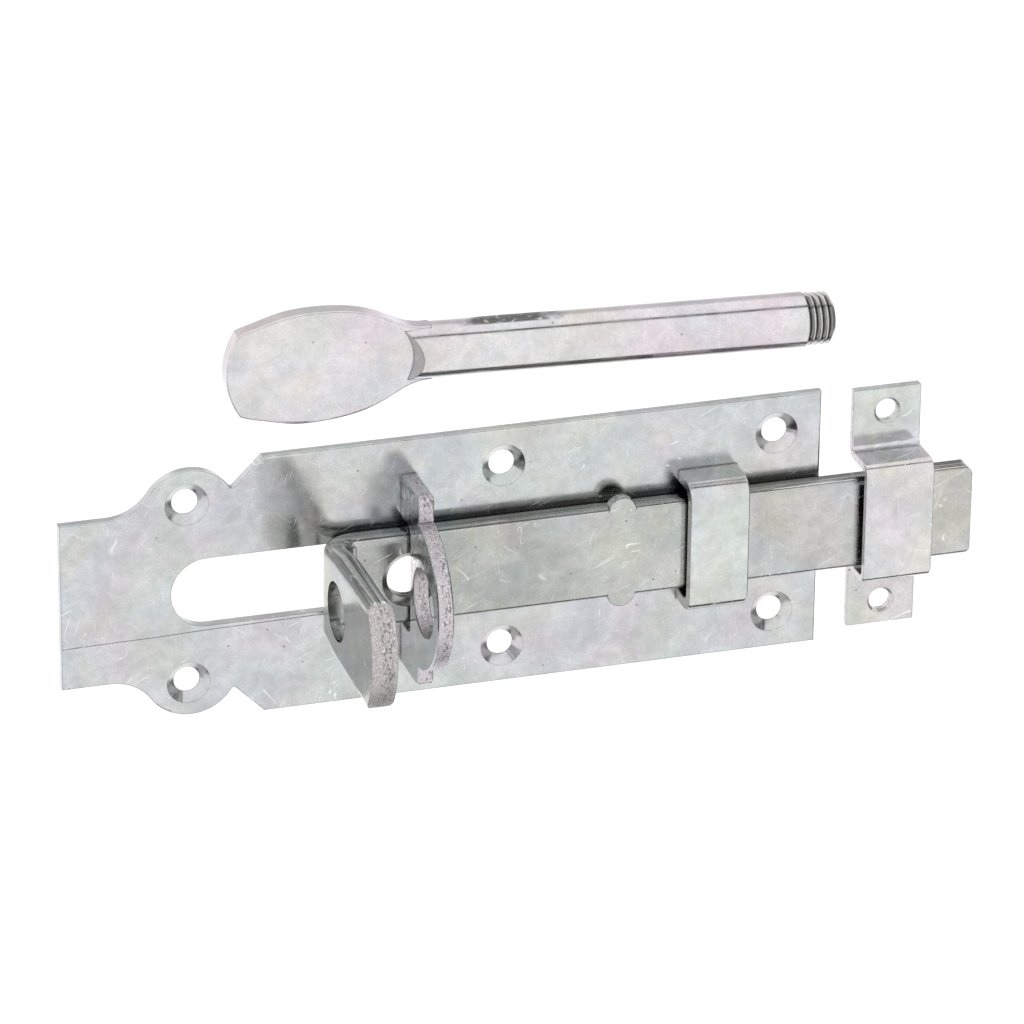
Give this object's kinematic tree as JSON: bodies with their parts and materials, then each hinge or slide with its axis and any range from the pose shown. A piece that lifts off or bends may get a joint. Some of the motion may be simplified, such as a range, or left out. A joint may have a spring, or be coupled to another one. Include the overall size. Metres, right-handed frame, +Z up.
{
  "type": "barrel bolt",
  "caption": "Barrel bolt with a slotted screw-on plate, flat sliding bolt, padlock bridge, guide strap, separate keeper and a loose screw-in paddle handle.",
  "frame": {"origin": "on the plate's back face, at the middle of the four screw holes of its wide part", "axes": "+X along the bolt toward the keeper, +Z up with the plate on an upright door, -Y out of the front of the plate"},
  "size_m": [0.2849, 0.0655, 0.1319],
  "materials": {
    "base_plate_zinc": "bright zinc plating with clear blue passivation, satin, fine handling scratches",
    "guide_strap_zinc": "bright zinc plating with clear blue passivation, satin, fine handling scratches",
    "padlock_bridge_zinc": "bright zinc plating with clear blue passivation, satin, fine handling scratches",
    "bolt_bar_zinc": "bright zinc plating with clear blue passivation, satin, fine handling scratches",
    "keeper_zinc": "bright zinc plating with clear blue passivation, satin, fine handling scratches",
    "handle_zinc": "bright zinc plating with clear blue passivation, satin, fine handling scratches"
  },
  "bodies": {
    "plate": {"base_plate": "base_plate_zinc", "guide_strap": "guide_strap_zinc", "padlock_bridge": "padlock_bridge_zinc"},
    "bolt": {"bolt_bar": "bolt_bar_zinc"},
    "keeper": {"keeper": "keeper_zinc"},
    "handle": {"handle": "handle_zinc"}
  },
  "joints": [
    {"name": "bolt_slide", "type": "slide", "parent": "plate", "child": "bolt", "axis": [1, 0, 0], "range_m": [-0.06, 0.0175]},
    {"name": "keeper_off", "type": "slide", "parent": "plate", "child": "keeper", "axis": [1, 0, 0], "range_m": [0, 0.06]},
    {"name": "handle_off", "type": "slide", "parent": "plate", "child": "handle", "axis": [0, 0, 1], "range_m": [0, 0.08]}
  ]
}
